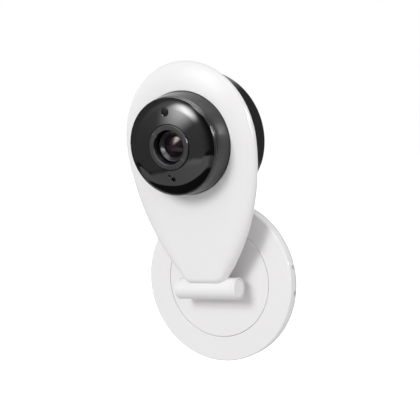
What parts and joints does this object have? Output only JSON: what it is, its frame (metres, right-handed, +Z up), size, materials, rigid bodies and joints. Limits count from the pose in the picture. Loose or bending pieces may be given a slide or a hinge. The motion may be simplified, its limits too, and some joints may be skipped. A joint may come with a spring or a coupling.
{
  "type": "baby monitor camera",
  "caption": "Water-drop baby monitor camera that tilts on a cross barrel and swivels on a round base stuck flat to a wall or table.",
  "frame": {"origin": "centre of the base's back face, where the rubber pad rests on the wall", "axes": "+Y out of the pad into the wall, -Y the way the camera looks, +Z up the drop from the hinge to its crown, +X to the camera's left"},
  "size_m": [0.079, 0.0439, 0.1454],
  "materials": {
    "white_shell": "satin gloss white moulding",
    "white_plate": "plain white moulding",
    "steel_plate": "zinc-plated sheet",
    "screw_steel": "zinc plated",
    "screw_black": "black oxide",
    "pin_steel": "ground steel",
    "pad_rubber": "matt rubber",
    "nylon": "natural nylon",
    "black_gloss": "gloss black moulding",
    "black_satin": "satin black moulding",
    "black_matte": "matt black moulding",
    "dome_black": "dark infrared-passing window, polished",
    "window_dark": "smoked clear plastic",
    "lens_glass": "coated optical glass",
    "board_green": "solder-masked glass-epoxy board",
    "board_black": "black solder-masked board",
    "sensor_chip": "image sensor package",
    "connector_plastic": "nylon connector",
    "led_clear": "clear epoxy",
    "chip_black": "moulded chip package",
    "shield_metal": "tin-plated sheet",
    "heat_pad": "soft thermal pad",
    "spreader_aluminium": "bare sheet",
    "copper_coil": "enamelled copper winding",
    "button_black": "moulded button",
    "cone_paper": "coated paper cone",
    "foam_black": "closed-cell foam",
    "ribbon_white": "flat flexible lead"
  },
  "bodies": {
    "base": {"base_cover": "white_shell", "bottom_plate": "white_plate", "steel_weight": "steel_plate", "base_screws": "screw_steel", "rubber_pad": "pad_rubber"},
    "turntable": {"turntable_disc": "white_shell", "hinge_bracket": "white_shell", "bracket_screws": "screw_steel", "thrust_washer": "nylon", "retaining_ring": "steel_plate", "retainer_screws": "screw_steel"},
    "head": {"hinge_barrel": "white_shell", "barrel_caps": "white_shell", "hinge_pin": "pin_steel", "hinge_washers": "pin_steel", "neck_screws": "screw_steel", "tongue_screws": "screw_steel", "rear_cover": "black_gloss", "housing_screws": "screw_black", "front_collar": "black_gloss", "collar_clamp": "black_matte", "collar_screws": "screw_steel", "front_cover": "dome_black", "sensor_window": "window_dark", "lens_ring": "black_satin", "lens_barrel": "black_matte", "lens_glass": "lens_glass", "rear_element": "lens_glass", "lens_holder": "black_matte", "filter_housing": "black_matte", "filter_coil": "copper_coil", "sensor_board": "board_green", "image_sensor": "sensor_chip", "board_connector": "connector_plastic", "led_board": "board_black", "infrared_leds": "led_clear", "light_sensor": "led_clear", "status_led": "led_clear", "microphone": "shield_metal", "mic_boot": "pad_rubber", "main_board": "board_green", "processor": "chip_black", "memory_chips": "chip_black", "shield_can": "shield_metal", "radio_module": "chip_black", "heat_pad": "heat_pad", "heat_spreader": "spreader_aluminium", "wifi_antenna": "board_black", "usb_socket": "shield_metal", "card_socket": "shield_metal", "reset_switch": "chip_black", "speaker": "black_matte", "speaker_cone": "cone_paper", "speaker_gasket": "foam_black", "led_ribbon": "ribbon_white", "front_shell": "white_shell", "neck_cover": "white_shell"},
    "setup_button": {"reset_button": "button_black"},
    "filter": {"filter_slider": "black_matte", "filter_glasses": "lens_glass"}
  },
  "joints": [
    {"name": "base_swivel", "type": "hinge", "parent": "base", "child": "turntable", "pos_m": [0, -0.0066, 0], "axis": [0, -1, 0], "continuous": true},
    {"name": "head_tilt", "type": "hinge", "parent": "turntable", "child": "head", "pos_m": [0, -0.0154, -0.00215], "axis": [1, 0, 0], "range_deg": [-5, 85]},
    {"name": "setup_button_press", "type": "slide", "parent": "head", "child": "setup_button", "axis": [0, -0.994, -0.1097], "range_m": [0, 0.0005], "stiffness_N_per_m": 800, "springref_m": -0.0006},
    {"name": "infrared_filter_slide", "type": "slide", "parent": "head", "child": "filter", "axis": [1, 0, 0], "range_m": [0, 0.007]}
  ]
}
